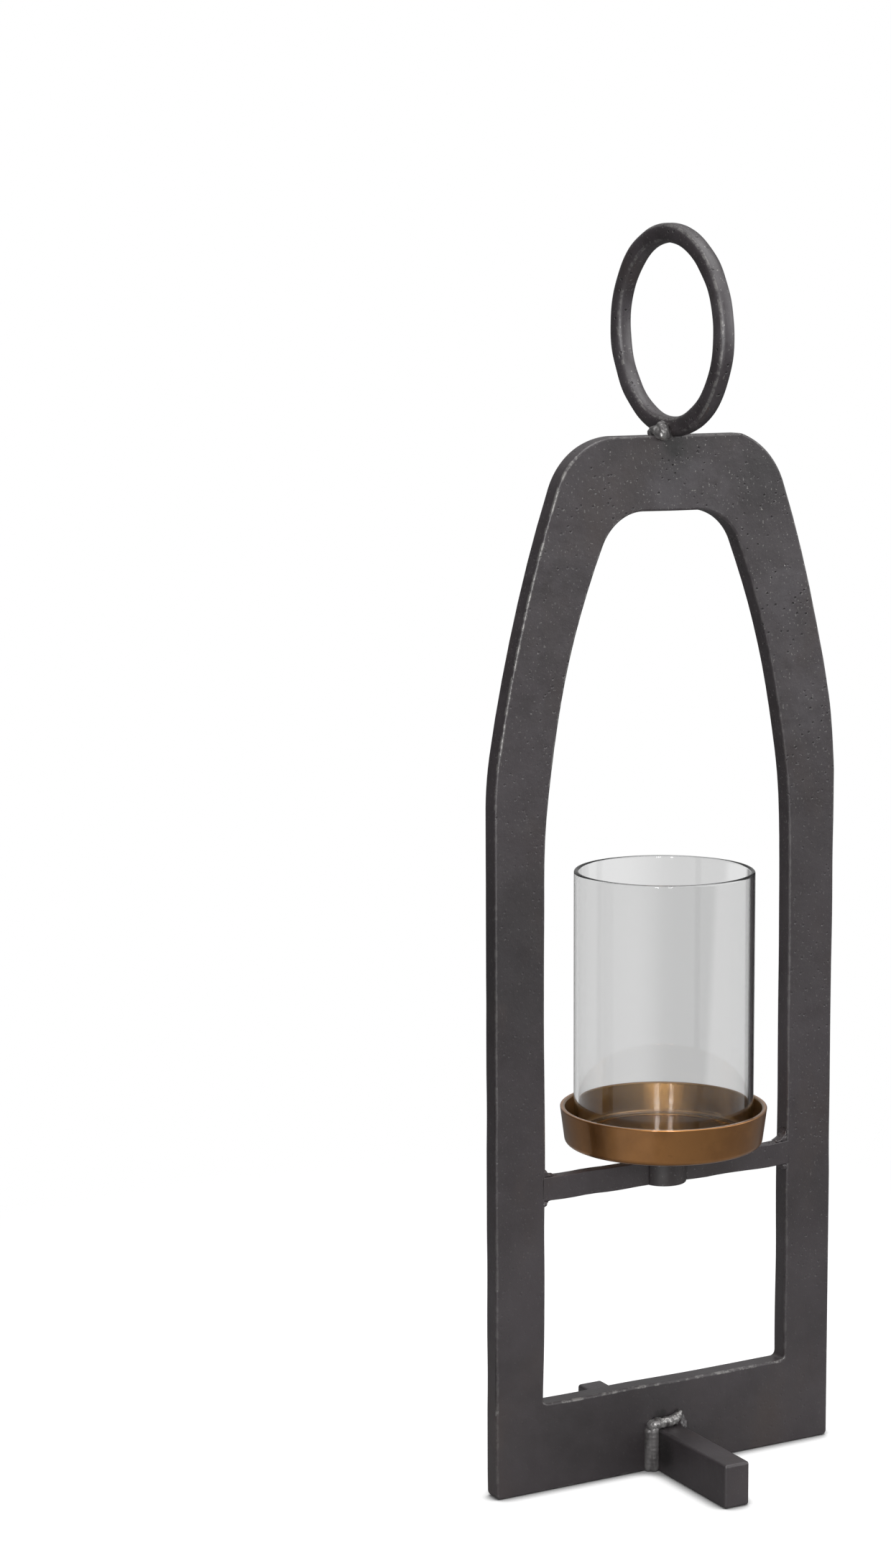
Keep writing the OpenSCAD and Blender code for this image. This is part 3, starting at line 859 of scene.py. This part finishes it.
def pale_floor():
    """A pale table round the lantern, with a painted contact shadow where the iron meets it; further off it is
    white to the eye and dark to the metal.
    """
    floor = floor_sheet()
    material, tree, out = shader("pale_floor")
    where = place(tree)
    spot = add(tree, "ShaderNodeSeparateXYZ", {0: where})
    distance = add(tree, "ShaderNodeVectorMath", {0: where}, operation="LENGTH").outputs["Value"]
    far = band(tree, distance, TABLE_FROM, TABLE_TO)
    along = add(tree, "ShaderNodeVectorMath", {0: where}, operation="NORMALIZE").outputs[0]
    lit = times(tree, band(tree, along_way(tree, along, LIT_WAY), 0.89, 0.965), band(tree, distance, 0.3, 0.45))
    sheen = times(tree, blend(tree, far, TABLE_SHEEN, ROOM_FLOOR_LEVEL), spread(tree, lit, 1.0, LIT_GAIN))
    level = seen_as(tree, blend(tree, far, TABLE_LEVEL, 0.0), 0.0, sheen)
    tree.links.new(mix(tree, level, (0, 0, 0), (1, 1, 1)), out.inputs["Base Color"])
    out.inputs["Roughness"].default_value = 0.9
    out.inputs["Specular IOR Level"].default_value = 0.0
    # painted contact shadow: near the iron, ambient occlusion darkens the table's white glow to the eye
    close = add(tree, "ShaderNodeAmbientOcclusion", {"Distance": PAINTED_CONTACT_SHADOW_REACH}).outputs["AO"]
    white = times(tree, blend(tree, far, TABLE_GLOW, 1.0), band(tree, close, 0.42, 0.97))
    past_glass = through_glass(tree, spot.outputs["X"], spot.outputs["Y"])
    out.inputs["Emission Color"].default_value = (1, 1, 1, 1)
    tree.links.new(seen_as(tree, white, past_glass, 0.0), out.inputs["Emission Strength"])
    floor.data.materials.append(material)


def white_room():
    """A pale backdrop behind, a dark room on the left, a middling one elsewhere; plain white to the camera."""
    world = bpy.data.worlds.new("white_room")
    bpy.context.scene.world = world
    world.use_nodes = True
    tree = world.node_tree
    back = tree.nodes["Background"]
    way = add(tree, "ShaderNodeTexCoord").outputs["Generated"]

    def facing(axis, low, high):
        return band(tree, along_way(tree, way, axis), low, high)

    room = spread(tree, facing(CAMERA_SIDE_WAY, 0.2, 0.9), CAMERA_SIDE_FROM, CAMERA_SIDE_TO)
    room = blend(tree, facing(SOFTBOX_WAY, 0.86, 0.94), room, SOFTBOX_LEVEL)
    mirrored = add(tree, "ShaderNodeLightPath").outputs["Is Glossy Ray"]
    rear = blend(tree, mirrored, REAR_LIGHT, REAR_GLOSS)
    room = blend(tree, facing(REAR_WAY, 0.45, 0.85), room, rear)
    room = blend(tree, facing(LEFT_WAY, 0.35, 0.75), room, LEFT_LEVEL)
    room = blend(tree, facing((0, 0, 1), 0.3, 0.9), room, CEILING_LEVEL)
    axes = add(tree, "ShaderNodeSeparateXYZ", {0: way})
    above = spread(tree, band(tree, axes.outputs["Z"], CEILING - CEILING_FADE, CEILING), 1.0, PAST_CEILING)
    past_glass = times(tree, through_glass(tree, axes.outputs["X"], axes.outputs["Y"]), above)
    tree.links.new(seen_as(tree, 1.0, past_glass, room), back.inputs["Strength"])
    back.inputs["Color"].default_value = (1, 1, 1, 1)


def lamp(name, place_at, aim, width, height, power):
    data = bpy.data.lights.new(name, "AREA")
    data.shape = "RECTANGLE"
    data.size = width
    data.size_y = height
    data.energy = power
    lamp_object = bpy.data.objects.new(name, data)
    lamp_object.location = place_at
    lamp_object.rotation_euler = (Vector(aim) - Vector(place_at)).to_track_quat("-Z", "Y").to_euler()
    bpy.context.scene.collection.objects.link(lamp_object)


def camera():
    """Looks at the lantern from its front left and a little above, with the lantern on the right of the picture."""
    azimuth = math.radians(28.495)
    tilt = math.radians(8.454)
    roll = math.radians(-0.285)
    distance = 1.7498
    target = Vector((-0.13718, 0, 0.40024))
    focal_pixels = 4600
    picture_height = 2183
    data = bpy.data.cameras.new("camera")
    data.sensor_width = 36
    data.lens = focal_pixels / picture_height * data.sensor_width
    data.clip_end = 60
    view = Matrix.Rotation(-azimuth, 4, "Z") @ Matrix.Rotation(math.radians(90) - tilt, 4, "X")
    ahead = view @ Vector((0, 0, -1, 0))
    eye = bpy.data.objects.new("camera", data)
    eye.matrix_world = Matrix.Translation(target - distance * ahead.xyz) @ view @ Matrix.Rotation(roll, 4, "Z")
    bpy.context.scene.collection.objects.link(eye)
    bpy.context.scene.camera = eye


window_plate()
foot("front_foot", "foot_front", FRONT_FOOT_SHORT)
foot("rear_foot", "foot_rear", 0)
crossbar("left", -WINDOW_HALF)
crossbar("right", WINDOW_HALF)
round_boss()
iron_ring()
ring_welds()
foot_welds()
crossbar_welds()
bronze_dish()
hurricane_glass()
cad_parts["tray_screw"].data.materials.clear()
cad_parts["tray_screw"].data.materials.append(SCREW)

pale_floor()
white_room()
for light in LAMPS:
    lamp(*light)
camera()
bpy.context.scene.view_settings.view_transform = "Standard"
